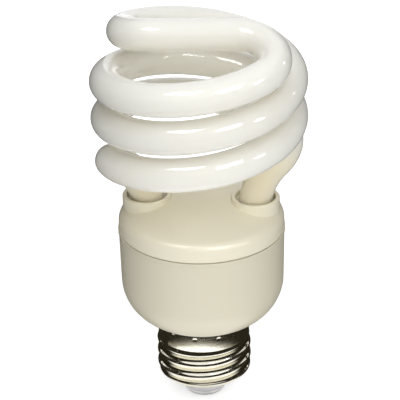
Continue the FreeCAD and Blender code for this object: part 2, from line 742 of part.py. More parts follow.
def make_capacitors():
    """Smoothing, resonance and blocking capacitors under the board."""
    foot = f"({BOARD_FOOT} - can_height)"
    neck = "(can_radius - can_bead)"
    can = turned(
        "smoothing_capacitor",
        [
            ("0", foot),
            ("can_radius - can_bead", foot, ("can_bead", LEFT)),
            ("can_radius", f"{foot} + can_bead"),
            ("can_radius", f"{BOARD_FOOT} - can_crimp - can_bead", ("2 * can_bead", RIGHT)),
            (neck, f"{BOARD_FOOT} - can_crimp", ("2 * can_bead", RIGHT)),
            ("can_radius", f"{BOARD_FOOT} - can_crimp + can_bead"),
            ("can_radius", BOARD_FOOT),
            ("0", BOARD_FOOT),
        ],
    )
    bind(can, x="can_across", y="can_along")
    for label, kind in (("resonance_capacitor", "film"), ("blocking_capacitor", "block")):
        sizes = [f"{kind}_width", f"{kind}_depth", f"{kind}_height"]
        place = [f"{kind}_across", f"{kind}_along", f"{BOARD_FOOT} - {kind}_height"]
        dipped = DOC.addObject("Part::Fillet", label)
        dipped.Base = block(f"{kind}_body", *sizes, *place)
        DOC.recompute()
        upright = [
            number
            for number, edge in enumerate(dipped.Base.Shape.Edges, start=1)
            if edge.BoundBox.ZLength > value(f"{kind}_height") / 2
        ]
        dipped.Edges = [(number, value("film_round"), value("film_round")) for number in upright]
        keep(label, dipped)


def make_semiconductors():
    """Two switching transistors under the board, and four rectifier diodes on it."""
    transistors = []
    for side in (1, -1):
        place = f"{side} * case_across"
        foot = f"({BOARD_FOOT} - case_legs - case_height)"
        pieces = [block(f"case{side}", "case_depth", "case_width", "case_height", place, "case_along", foot)]
        for leg in (-1, 0, 1):
            pieces.append(
                block(
                    f"case{side}_leg{leg}",
                    "2 * wire_radius",
                    "2 * wire_radius",
                    "case_legs",
                    place,
                    f"case_along + {leg} * case_pitch",
                    f"{BOARD_FOOT} - case_legs",
                )
            )
        transistors.append(joined(f"transistor{side}", pieces))
    group("switching_transistors", transistors)
    diodes = []
    for across in (1, -1):
        for along in (1, -1):
            place = (f"{across} * diode_spacing", f"{along} * diode_pitch", BOARD_TOP)
            diodes.append(block(f"diode{across}{along}", "diode_length", "diode_width", "diode_height", *place))
    group("rectifier_diodes", diodes)


def make_supply_wires():
    """Fusible resistor on the axis with its sleeve, and the side wire to the shell."""
    top = "(fuse_foot + fuse_length)"
    turned(
        "fusible_resistor",
        [
            ("0", "solder_height"),
            ("wire_radius", "solder_height"),
            ("wire_radius", "fuse_foot"),
            ("fuse_radius", "fuse_foot"),
            ("fuse_radius", top),
            ("wire_radius", top),
            ("wire_radius", BOARD_FOOT),
            ("0", BOARD_FOOT),
        ],
    )
    bore = "(fuse_radius + fit_gap)"
    turned(
        "resistor_sleeve",
        [
            (bore, "fuse_foot - sleeve_spare"),
            (f"{bore} + sleeve_wall", "fuse_foot - sleeve_spare"),
            (f"{bore} + sleeve_wall", f"{top} + sleeve_spare"),
            (bore, f"{top} + sleeve_spare"),
        ],
    )
    angle = math.radians(value("shell_wire_angle"))
    outward = Vector(math.cos(angle), math.sin(angle), 0)
    inner = outward * value(f"{NECK_BORE} - shell_wire_gap - wire_radius")
    outer = outward * value(f"{THREAD_BORE} - fit_gap")
    turn = value(f"{NECK_FOOT} - shell_wire_drop")
    path = DOC.addObject("Part::Feature", "shell_wire_path")
    path.Shape = rounded_path(
        [
            (inner + Vector(0, 0, value(BOARD_FOOT)), 0),
            (inner + Vector(0, 0, turn), (outer - inner).Length / 2),
            (outer + Vector(0, 0, turn), 0),
        ]
    )
    ring = DOC.addObject("Part::Circle", "shell_wire_section")
    ring.Placement.Base = inner + Vector(0, 0, value(BOARD_FOOT))
    bind(ring, Radius="wire_radius")
    DOC.recompute()
    wire = keep("shell_wire", DOC.addObject("Part::Sweep", "shell_wire"))
    wire.Sections = [ring]
    wire.Spine = (path, [f"Edge{number + 1}" for number in range(len(path.Shape.Edges))])
    wire.Solid = True
    wire.Frenet = False
    wire.Transition = "Transformed"


def check():
    """Stops if an object of the document failed or a sub-part is not a sound solid."""
    DOC.recompute()
    for target in DOC.Objects:
        if "Invalid" in target.State or "Error" in target.State:
            raise RuntimeError(f"{target.Label} failed: {target.State}")
    for node in NODES:
        shape = node.Shape
        if shape.isNull() or not shape.isValid() or not shape.Solids:
            raise RuntimeError(f"{node.Label} is not a sound solid")


def write():
    """Writes each sub-part to a file of its own."""
    os.makedirs("parts", exist_ok=True)
    for node in NODES:
        node.Shape.exportStep(os.path.join("parts", f"{node.Label}.step"))
        box = node.Shape.BoundBox
        print(
            f"{node.Label}: {len(node.Shape.Solids)} solid(s), {node.Shape.Volume:.1f} mm3,"
            f" z {box.ZMin:.2f} to {box.ZMax:.2f}"
        )


def main():
    """Builds every sub-part, checks them and writes them."""
    fill_sheet()
    make_tube()
    make_holder()
    make_cement()
    make_housing()
    make_cap()
    make_board()
    make_choke()
    make_coils()
    make_capacitors()
    make_semiconductors()
    make_supply_wires()
    check()
    write()


main()
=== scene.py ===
"""Dresses a spiral energy saving bulb: a glossy coiled tube, a moulded housing and a nickel screw cap.

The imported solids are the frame. The tube and the threaded shell are modelled here in finer form and stand
for their solids; every other piece keeps its solid and gets its finish here.
"""

import logging
import math
from collections.abc import Sequence
from dataclasses import dataclass
from enum import Enum
from typing import Protocol

import bmesh
import bpy
from mathutils import Matrix, Vector


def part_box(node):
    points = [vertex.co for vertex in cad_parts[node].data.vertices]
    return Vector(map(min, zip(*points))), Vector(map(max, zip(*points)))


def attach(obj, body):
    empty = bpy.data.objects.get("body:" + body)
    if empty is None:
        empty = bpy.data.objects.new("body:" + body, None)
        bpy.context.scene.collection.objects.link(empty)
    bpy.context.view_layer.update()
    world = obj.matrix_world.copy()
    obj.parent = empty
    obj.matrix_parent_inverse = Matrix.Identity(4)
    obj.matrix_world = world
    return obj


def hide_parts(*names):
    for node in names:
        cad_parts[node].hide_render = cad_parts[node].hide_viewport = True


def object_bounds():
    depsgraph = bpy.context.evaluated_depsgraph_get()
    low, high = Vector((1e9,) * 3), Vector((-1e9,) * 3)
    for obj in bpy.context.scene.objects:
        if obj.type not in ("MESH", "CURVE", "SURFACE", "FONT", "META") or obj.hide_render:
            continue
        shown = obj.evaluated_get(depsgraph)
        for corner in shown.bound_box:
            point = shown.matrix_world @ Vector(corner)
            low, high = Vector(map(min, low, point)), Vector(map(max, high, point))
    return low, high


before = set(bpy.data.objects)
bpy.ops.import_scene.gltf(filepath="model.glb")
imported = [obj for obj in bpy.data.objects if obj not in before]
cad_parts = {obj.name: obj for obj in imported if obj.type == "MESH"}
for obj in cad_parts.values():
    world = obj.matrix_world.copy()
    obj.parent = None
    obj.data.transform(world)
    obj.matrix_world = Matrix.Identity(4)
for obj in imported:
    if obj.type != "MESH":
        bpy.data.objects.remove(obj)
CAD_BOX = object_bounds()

LOG = logging.getLogger("spiral_bulb")
MM = 0.001
BODY = "root"
NOISE_LOW, NOISE_HIGH = 0.3, 0.7  # the range that most of a noise lies in

Colour = tuple[float, float, float]
Profile = tuple[tuple[float, float], ...]
WHITE: Colour = (1, 1, 1)


class Axis(Enum):
    """Directions of the lamp's own frame."""

    X = Vector((1, 0, 0))
    Y = Vector((0, 1, 0))
    Z = Vector((0, 0, 1))


class Rays(Enum):
    """Kinds of ray that see the white surroundings as they are."""

    CAMERA = "Is Camera Ray"
    GLOSSY = "Is Glossy Ray"
    TRANSMISSION = "Is Transmission Ray"


class Shading:
    """Node tree of one material, with the few moves that the finishes share."""

    def __init__(self, name: str) -> None:
        """Starts a material with its principled shader.

        Args:
            name: The material's name.
        """
        self.material = bpy.data.materials.new(name)
        self.material.use_nodes = True
        self.tree = self.material.node_tree
        self.surface = self.tree.nodes["Principled BSDF"]
        self.place = self.add("ShaderNodeTexCoord").outputs["Object"]

    def add(self, kind: str, **settings: object) -> bpy.types.Node:
        """Adds a node.

        Args:
            kind: The node's type name.
            settings: Properties to set on the node.

        Returns:
            The new node.
        """
        node = self.tree.nodes.new(kind)
        for name, setting in settings.items():
            setattr(node, name, setting)
        return node

    def link(self, source: bpy.types.NodeSocket, target: bpy.types.NodeSocket) -> None:
        """Joins two sockets."""
        self.tree.links.new(source, target)

    def set(self, **sockets: object) -> None:
        """Sets constants on the principled shader; underscores stand for spaces."""
        for name, setting in sockets.items():
            self.surface.inputs[name.replace("_", " ")].default_value = setting

    def stretched(self, across: Vector) -> bpy.types.NodeSocket:
        """Object coordinates scaled along each axis.

        Args:
            across: Scale along X, Y and Z.

        Returns:
            The scaled coordinates.
        """
        mapping = self.add("ShaderNodeMapping")
        mapping.inputs["Scale"].default_value = across
        self.link(self.place, mapping.inputs["Vector"])
        return mapping.outputs["Vector"]

    def noise(
        self, scale: float, detail: float = 4.0, at: bpy.types.NodeSocket | None = None
    ) -> bpy.types.NodeSocket:
        """Adds a noise texture.

        Args:
            scale: Features for each metre.
            detail: Octaves of the noise.
            at: Coordinates, or None for plain object coordinates.

        Returns:
            The noise's value.
        """
        texture = self.add("ShaderNodeTexNoise")
        texture.inputs["Scale"].default_value = scale
        texture.inputs["Detail"].default_value = detail
        self.link(at or self.place, texture.inputs["Vector"])
        return texture.outputs["Fac"]

    def spread(self, value: bpy.types.NodeSocket, low: float, high: float) -> bpy.types.NodeSocket:
        """Maps the middle of a noise to a range.

        Args:
            value: A noise between 0 and 1.
            low: Result at the noise's dark side.
            high: Result at its light side.

        Returns:
            The mapped value.
        """
        return self.remap(value, NOISE_LOW, NOISE_HIGH, low, high)

    def remap(
        self, value: bpy.types.NodeSocket, start: float, end: float, low: float, high: float
    ) -> bpy.types.NodeSocket:
        """Maps a value smoothly from one range to another.

        Args:
            value: The value to map.
            start: Where the result is low.
            end: Where the result is high.
            low: Result at start.
            high: Result at end.

        Returns:
            The mapped value.
        """
        node = self.add("ShaderNodeMapRange", interpolation_type="SMOOTHSTEP")
        for name, setting in zip(("From Min", "From Max", "To Min", "To Max"), (start, end, low, high)):
            node.inputs[name].default_value = setting
        self.link(value, node.inputs["Value"])
        return node.outputs["Result"]

    def mixed(self, share: bpy.types.NodeSocket, low: Colour, high: Colour) -> bpy.types.NodeSocket:
        """Blends two colours.

        Args:
            share: 0 for the first colour, 1 for the second.
            low: First colour.
            high: Second colour.

        Returns:
            The blended colour.
        """
        node = self.add("ShaderNodeMix", data_type="RGBA")
        node.inputs["A"].default_value = (*low, 1)
        node.inputs["B"].default_value = (*high, 1)
        self.link(share, node.inputs["Factor"])
        return node.outputs["Result"]

    def tinted(
        self, share: bpy.types.NodeSocket, colour: bpy.types.NodeSocket, high: Colour
    ) -> bpy.types.NodeSocket:
        """Blends a colour that varies towards a fixed one.

        Args:
            share: 0 for the varying colour, 1 for the fixed one.
            colour: The varying colour.
            high: The fixed colour.

        Returns:
            The blended colour.
        """
        node = self.add("ShaderNodeMix", data_type="RGBA")
        self.link(colour, node.inputs["A"])
        node.inputs["B"].default_value = (*high, 1)
        self.link(share, node.inputs["Factor"])
        return node.outputs["Result"]

    def axis_value(self, axis: Axis) -> bpy.types.NodeSocket:
        """One object coordinate.

        Args:
            axis: The coordinate's axis.

        Returns:
            The coordinate, in metres.
        """
        split = self.add("ShaderNodeSeparateXYZ")
        self.link(self.place, split.inputs["Vector"])
        return split.outputs[axis.name]

    def axis_distance(self) -> bpy.types.NodeSocket:
        """Distance from the lamp's axis.

        Returns:
            The distance, in metres.
        """
        length = self.add("ShaderNodeVectorMath", operation="LENGTH")
        self.link(self.stretched(Vector((1, 1, 0))), length.inputs["Vector"])
        return length.outputs["Value"]

    def colour(self, source: bpy.types.NodeSocket) -> None:
        """Feeds the base colour."""
        self.link(source, self.surface.inputs["Base Color"])

    def roughness(self, source: bpy.types.NodeSocket) -> None:
        """Feeds the roughness."""
        self.link(source, self.surface.inputs["Roughness"])

    def bump(self, height: bpy.types.NodeSocket, depth: float, strength: float = 1.0) -> None:
        """Adds relief.

        Args:
            height: Relief between 0 and 1.
            depth: Full height of the relief, in metres.
            strength: Share of the relief that shows.
        """
        node = self.add("ShaderNodeBump")
        node.inputs["Distance"].default_value = depth
        node.inputs["Strength"].default_value = strength
        self.link(height, node.inputs["Height"])
        self.link(node.outputs["Normal"], self.surface.inputs["Normal"])


class Finish(Protocol):
    """Anything that makes a material."""

    def make(self) -> bpy.types.Material:
        """The material."""


@dataclass(frozen=True)
class CoatedGlass:
    """Clear glass over a white powder coat, which thins towards the tube's ends.

    Heights, depths and the glow's reach are in metres; noises are in features a metre.
    """

    coat: Colour = (0.945, 0.902, 0.79)
    coat_shade: Colour = (0.93, 0.885, 0.77)
    bare_end: Colour = (0.83, 0.77, 0.60)
    end_from: float = 0.078
    end_to: float = 0.068
    glow: float = 0.014
    end_glow: float = 0.003
    cloud: float = 90
    powder: float = 700
    powder_shine: tuple[float, float] = (0.42, 0.52)
    ripple: float = 60
    ripple_depth: float = 0.00012
    ripple_share: float = 0.35
    glass_shine: float = 0.03
    glass_index: float = 1.5

    def make(self) -> bpy.types.Material:
        """Mixes the finish of the discharge tube.

        Returns:
            The material.
        """
        shading = Shading("tube_coated_glass")
        cloud = shading.spread(shading.noise(self.cloud, detail=3), 0, 1)
        powder = shading.mixed(cloud, self.coat, self.coat_shade)
        height = shading.axis_value(Axis.Z)
        ends = shading.remap(height, self.end_to, self.end_from, 1, 0)
        shading.colour(shading.tinted(ends, powder, self.bare_end))
        shading.roughness(shading.spread(shading.noise(self.powder, detail=2), *self.powder_shine))
        shading.bump(shading.noise(self.ripple, detail=1), self.ripple_depth, self.ripple_share)
        shading.set(Coat_Weight=1.0, Coat_Roughness=self.glass_shine, Coat_IOR=self.glass_index)
        shading.set(Specular_IOR_Level=0.0, Subsurface_Weight=1.0, Subsurface_Radius=(1, 1, 1))
        reach = shading.remap(height, self.end_to, self.end_from, self.end_glow, self.glow)
        shading.link(reach, shading.surface.inputs["Subsurface Scale"])
        return shading.material


@dataclass(frozen=True)
class MouldedPlastic:
    """Semi-gloss moulded plastic with a faint cloudiness and a fine mould texture. Features a metre."""

    name: str
    light: Colour
    dark: Colour
    cloud: float = 22
    shine: tuple[float, float] = (0.34, 0.38)
    shine_patches: float = 30
    mould_grain: float = 1800
    mould_depth: float = 0.00001
    mould_share: float = 0.15
    gloss: float = 0.3
    skin: float = 0.2
    skin_shine: float = 0.2
    skin_index: float = 1.5

    def make(self) -> bpy.types.Material:
        """Mixes the finish of a moulded piece.

        Returns:
            The material.
        """
        shading = Shading(self.name)
        cloud = shading.spread(shading.noise(self.cloud, detail=0), 0, 1)
        shading.colour(shading.mixed(cloud, self.light, self.dark))
        shading.roughness(shading.spread(shading.noise(self.shine_patches, detail=0), *self.shine))
        shading.bump(shading.noise(self.mould_grain, detail=1), self.mould_depth, self.mould_share)
        shading.set(Specular_IOR_Level=self.gloss, Coat_Weight=self.skin)
        shading.set(Coat_Roughness=self.skin_shine, Coat_IOR=self.skin_index)
        return shading.material


@dataclass(frozen=True)
class NickelPlate:
    """Bright plated sheet: roll marks round the axis, with painted shade darkening the thread's roots.

    Radii and depths are in metres; noises are in features a metre.
    """

    bright: Colour = (0.95, 0.925, 0.83)
    # painted shade: a darker, browner plate colour for the thread's roots
    root_shade: Colour = (0.66, 0.61, 0.46)
    stained: Colour = (0.89, 0.86, 0.75)
    root: float = 0.01225
    crest: float = 0.01275
    stains: float = 380
    roll_marks: Colour = (90, 90, 9000)
    shine: tuple[float, float] = (0.05, 0.13)
    mark_depth: float = 0.000012
    mark_share: float = 0.15

    def make(self) -> bpy.types.Material:
        """Mixes the finish of the screw shell.

        Returns:
            The material.
        """
        shading = Shading("shell_nickel")
        # painted shade: the plate colour darkens towards the thread's roots, where shade falls
        depth = shading.remap(shading.axis_distance(), self.root, self.crest, 1, 0)
        stains = shading.spread(shading.noise(self.stains, detail=5), 0, 1)
        plate = shading.mixed(stains, self.bright, self.stained)
        shading.colour(shading.tinted(depth, plate, self.root_shade))
        rolled = shading.noise(1.0, detail=3, at=shading.stretched(Vector(self.roll_marks)))
        shading.roughness(shading.spread(rolled, *self.shine))
        shading.bump(rolled, self.mark_depth, self.mark_share)
        shading.set(Metallic=1.0)
        return shading.material


@dataclass(frozen=True)
class Tinned:
    """Tinned or soldered metal with a soft, uneven surface, with painted shade darkening it below a height if
    one is given.
    """

    name: str
    bright: Colour
    dark: Colour
    shine: tuple[float, float] = (0.22, 0.42)
    grain: float = 420
    relief: float = 0.00008
    relief_share: float = 0.5
    # painted shade: dark colour for a self-shadowed lower edge
    edge_shade: Colour = (0.18, 0.175, 0.17)
    shade_below: float = 0.0

    def make(self) -> bpy.types.Material:
        """Mixes the finish of a tinned piece.

        Returns:
            The material.
        """
        shading = Shading(self.name)
        patches = shading.spread(shading.noise(self.grain, detail=5), 0, 1)
        tin = shading.mixed(patches, self.bright, self.dark)
        # painted shade: the colour darkens towards the bottom, below the given height
        if self.shade_below:
            edge = shading.remap(shading.axis_value(Axis.Z), self.shade_below / 3, self.shade_below, 1, 0)
            tin = shading.tinted(edge, tin, self.edge_shade)
        shading.colour(tin)
        shading.roughness(shading.spread(shading.noise(self.grain * 2, detail=3), *self.shine))
        shading.bump(shading.noise(self.grain, detail=3), self.relief, self.relief_share)
        shading.set(Metallic=1.0)
        return shading.material


@dataclass(frozen=True)
class Grained:
    """Matt or glazed piece whose colour, shine and relief follow one grain. Features a metre."""

    name: str
    light: Colour
    dark: Colour
    shine: tuple[float, float]
    grain: float
    relief: float = 0.00004
    relief_share: float = 0.6

    def make(self) -> bpy.types.Material:
        """Mixes the finish of a grained piece.

        Returns:
            The material.
        """
        shading = Shading(self.name)
        grain = shading.noise(self.grain, detail=5)
        shading.colour(shading.mixed(shading.spread(grain, 0, 1), self.light, self.dark))
        shading.roughness(shading.spread(grain, *self.shine))
        shading.bump(grain, self.relief, self.relief_share)
        return shading.material


@dataclass(frozen=True)
class WoundWire:
    """Enamelled wire wound in close turns, with painted shade darkening the grooves between them; turns a
    metre.
    """

    name: str = "winding_copper"
    light: Colour = (0.62, 0.27, 0.10)
    # painted shade: colour of the grooves between turns
    dark: Colour = (0.22, 0.07, 0.025)
    turns: float = 2600
    across: Axis = Axis.Z
    wander: float = 0.6
    wander_scale: float = 2.0
    relief: float = 0.0002
    relief_share: float = 0.8
    metal: float = 0.55
    shine: float = 0.32
    enamel: float = 0.6
    enamel_shine: float = 0.15

    def make(self) -> bpy.types.Material:
        """Mixes the finish of a winding.

        Returns:
            The material.
        """
        shading = Shading(self.name)
        wave = shading.add("ShaderNodeTexWave", bands_direction=self.across.name, wave_profile="SIN")
        wave.inputs["Scale"].default_value = self.turns / (2 * math.pi)
        wave.inputs["Distortion"].default_value = self.wander
        wave.inputs["Detail Scale"].default_value = self.wander_scale
        shading.link(shading.place, wave.inputs["Vector"])
        # painted shade: the colour darkens where the relief dips, in the grooves between turns
        shading.colour(shading.mixed(wave.outputs["Fac"], self.dark, self.light))
        shading.bump(wave.outputs["Fac"], self.relief, self.relief_share)
        shading.set(Metallic=self.metal, Roughness=self.shine)
        shading.set(Coat_Weight=self.enamel, Coat_Roughness=self.enamel_shine)
        return shading.material


def finished_piece(
    name: str, mesh_maker: bmesh.types.BMesh, node: str, material: bpy.types.Material
) -> bpy.types.Object:
    """Makes an object of a finished mesh that stands for a solid and rides with the lamp.

    Args:
        name: The piece's name.
        mesh_maker: The mesh, with its place in its points; it is freed.
        node: The solid that the piece stands for.
        material: The piece's finish.

    Returns:
        The new object.
    """
    for face in mesh_maker.faces:
        face.smooth = True
    mesh = bpy.data.meshes.new(name)
    mesh_maker.to_mesh(mesh)
    mesh_maker.free()
    mesh.materials.append(material)
    piece = bpy.data.objects.new(name, mesh)
    bpy.context.scene.collection.objects.link(piece)
    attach(piece, BODY)
    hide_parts(node)
    LOG.info("%s: %d faces in place of %s", name, len(mesh.polygons), node)
    return piece


def ring_edges_of(geometry: Sequence[object]) -> list[bmesh.types.BMEdge]:
    """The edges in what an operator returns."""
    return [item for item in geometry if isinstance(item, bmesh.types.BMEdge)]


def ring_points_of(geometry: Sequence[object]) -> list[bmesh.types.BMVert]:
    """The points in what an operator returns."""
    return [item for item in geometry if isinstance(item, bmesh.types.BMVert)]


@dataclass
class CoiledTube:
    """The discharge tube: two equal arms half a turn apart, joined by a bridge. Millimetres and degrees."""

    tube_radius: float = 4.5
    spiral_radius: float = 24.55
    spiral_lead: float = 21.4
    spiral_turns: int = 1
    start_angle: float = 26.5
    bridge_turn: float = 4.0
    lobe_radius: float = 10.2
    lobe_rise: float = 4.5
    leg_radius: float = 14.8
    ankle_rise: float = 4.6
    knee_reach: float = 7.0
    knee_slope: float = 0.78
    ring_points: int = 48
    step_angle: float = 3.0
    bend_steps: int = 6

    def __post_init__(self) -> None:
        """Works out the joints of the centreline from the sizes and the frame."""
        low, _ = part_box("discharge_tube")
        _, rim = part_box("tube_holder")
        inner = self.spiral_radius - self.lobe_radius
        self.joint_angle = 180 + self.bridge_turn - math.degrees(math.asin(self.lobe_radius / inner))
        joint = math.radians(self.joint_angle)
        self.lobe_centre = Vector((math.cos(joint), math.sin(joint), 0)) * inner
        self.lobe_sweep = 270 + self.bridge_turn - self.joint_angle
        self.sweep = 360 * self.spiral_turns + self.joint_angle - self.start_angle
        start = math.radians(self.start_angle)
        slope = self.spiral_lead / (2 * math.pi * self.spiral_radius)
        tangent = Vector((-math.sin(start), math.cos(start), slope))
        self.foot = Vector((self.leg_radius, 0, low.z / MM))
        self.ankle = Vector((self.leg_radius, 0, rim.z / MM + self.ankle_rise))
        begin = Vector((math.cos(start), math.sin(start), 0)) * self.spiral_radius
        knee = begin - Vector((tangent.x, tangent.y, 0)) * self.knee_reach
        run = math.hypot(knee.x - self.ankle.x, knee.y - self.ankle.y)
        knee.z = self.ankle.z + run * self.knee_slope
        self.knee = knee
        self.begin = knee + tangent * self.knee_reach

    def lobe_climb(self, share: float) -> float:
        """Height of the centreline in the lobe above the lobe's start.

        Args:
            share: Share of the lobe, from 0 at the spiral to 1 at the bridge.

        Returns:
            The height, which leaves the spiral at its slope and ends level.
        """
        length = self.lobe_radius * math.radians(self.lobe_sweep)
        slope = self.spiral_lead / (2 * math.pi * self.spiral_radius) * length
        return slope * share * (1 - share) ** 2 + self.lobe_rise * share**2 * (3 - 2 * share)

    def swing(
        self,
        mesh: bmesh.types.BMesh,
        ring: list,
        centre: Vector,
        axis: Vector,
        angle: float,
        climb: float,
        steps: int,
    ) -> list:
        """Carries a ring round an axis and leaves the tube's wall behind it.

        Args:
            mesh: The tube's mesh.
            ring: The open ring's edges and points.
            centre: A point of the axis, in millimetres.
            axis: The axis; the ring turns by the right-hand rule.
            angle: Turn, in radians.
            climb: Rise along Z over the whole turn, in millimetres.
            steps: Rings to add.

        Returns:
            The new open ring.
        """
        result = bmesh.ops.spin(
            mesh,
            geom=ring,
            cent=centre * MM,
            axis=axis,
            dvec=Axis.Z.value * (climb * MM / steps),
            angle=angle,
            steps=steps,
            use_merge=False,
            use_duplicate=False,
        )
        return result["geom_last"]

    def bend(
        self,
        mesh: bmesh.types.BMesh,
        ring: list,
        corner: Vector,
        source: Vector,
        target: Vector,
        reach: float,
    ) -> list:
        """Carries a ring round a corner of the centreline on a tangent arc.

        Args:
            mesh: The tube's mesh.
            ring: The open ring.
            corner: The corner.
            source: A point on the run before it.
            target: A point on the run after it.
            reach: Length of the arc's tangent along each run.

        Returns:
            The new open ring.
        """
        back = (source - corner).normalized()
        ahead = (target - corner).normalized()
        half = back.angle(ahead) / 2
        centre = corner + (back + ahead).normalized() * (reach / math.cos(half))
        axis = (corner + back * reach - centre).cross(corner + ahead * reach - centre).normalized()
        turn = math.pi - 2 * half
        steps = max(self.bend_steps, round(math.degrees(turn) / self.step_angle))
        return self.swing(mesh, ring, centre, axis, turn, 0, steps)

    def draw_straight(self, mesh: bmesh.types.BMesh, ring: list, move: Vector) -> list:
        """Carries a ring along a straight run.

        Args:
            mesh: The tube's mesh.
            ring: The open ring.
            move: The run, in millimetres.

        Returns:
            The new open ring.
        """
        grown = bmesh.ops.extrude_edge_only(mesh, edges=ring_edges_of(ring))["geom"]
        points = ring_points_of(grown)
        bmesh.ops.translate(mesh, verts=points, vec=move * MM)
        loose = set(points)
        return points + [edge for edge in ring_edges_of(grown) if set(edge.verts) <= loose]

    def build_arm(self, mesh: bmesh.types.BMesh) -> list:
        """Builds one arm from its foot to the bridge.

        Args:
            mesh: An empty mesh.

        Returns:
            The open ring where the bridge starts.
        """
        circle = bmesh.ops.create_circle(mesh, segments=self.ring_points, radius=self.tube_radius * MM)
        points = circle["verts"]
        bmesh.ops.rotate(mesh, verts=points, matrix=Matrix.Rotation(math.pi / 2, 3, "X"))
        bmesh.ops.translate(mesh, verts=points, vec=Axis.X.value * (self.spiral_radius * MM))
        bmesh.ops.rotate(mesh, verts=points, matrix=Matrix.Rotation(math.radians(self.start_angle), 3, "Z"))
        bmesh.ops.translate(mesh, verts=points, vec=Axis.Z.value * (self.begin.z * MM))
        start = points + list(mesh.edges)

        run = (self.knee - self.ankle).length
        ring = self.bend(mesh, start, self.knee, self.begin, self.ankle, self.knee_reach)
        ring = self.bend(mesh, ring, self.ankle, self.knee, self.foot, run - self.knee_reach)
        ring = self.draw_straight(mesh, ring, self.foot + Axis.Z.value * (run - self.knee_reach) - self.ankle)
        bmesh.ops.holes_fill(mesh, edges=ring_edges_of(ring), sides=0)

        climb = self.spiral_lead * self.sweep / 360
        steps = round(self.sweep / self.step_angle)
        ring = self.swing(mesh, start, Vector(), Axis.Z.value, math.radians(self.sweep), climb, steps)
        turn = math.radians(self.lobe_sweep)
        steps = round(self.lobe_sweep / self.step_angle)
        for index in range(steps):
            rise = self.lobe_climb((index + 1) / steps) - self.lobe_climb(index / steps)
            ring = self.swing(mesh, ring, self.lobe_centre, Axis.Z.value, turn / steps, rise, 1)
        return ring

    def build(self, material: bpy.types.Material) -> bpy.types.Object:
        """Builds both arms and the bridge.

        Args:
            material: The tube's finish.

        Returns:
            The tube.
        """
        mesh = bmesh.new()
        first = self.build_arm(mesh)
        copy = bmesh.ops.duplicate(mesh, geom=[*mesh.verts, *mesh.edges, *mesh.faces])
        bmesh.ops.rotate(mesh, verts=ring_points_of(copy["geom"]), matrix=Matrix.Rotation(math.pi, 3, "Z"))
        second = [copy["edge_map"][edge] for edge in ring_edges_of(first)]
        bmesh.ops.bridge_loops(mesh, edges=ring_edges_of(first) + second)
        bmesh.ops.recalc_face_normals(mesh, faces=mesh.faces)
        return finished_piece("coiled_tube", mesh, "discharge_tube", material)


